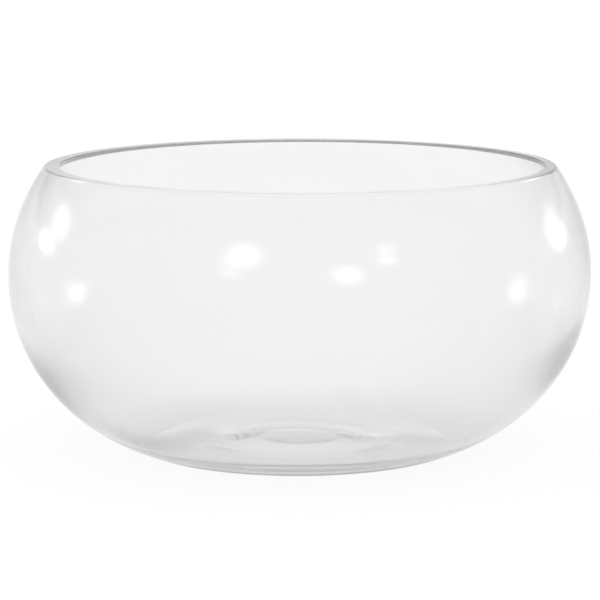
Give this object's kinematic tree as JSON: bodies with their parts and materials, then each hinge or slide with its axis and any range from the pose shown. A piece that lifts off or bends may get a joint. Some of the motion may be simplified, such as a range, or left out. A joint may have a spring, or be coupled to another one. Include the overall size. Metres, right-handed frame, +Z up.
{
  "type": "glass bowl vase",
  "caption": "Low round bowl vase of clear blown glass with a bulging wall, a wide mouth with a flat ground rim, and a flat ring foot; holds water and flowers.",
  "frame": {"origin": "centre of the foot, on the surface that the bowl stands on", "axes": "+Z up along the bowl's axis of revolution; +X to the right and -Y towards the viewer of the picture"},
  "size_m": [0.254, 0.254, 0.1236],
  "materials": {
    "clear_glass": "fire-polished clear soda-lime glass, with the rim ground flat and polished"
  },
  "bodies": {
    "root": {"glass_bowl": "clear_glass"}
  },
  "joints": []
}
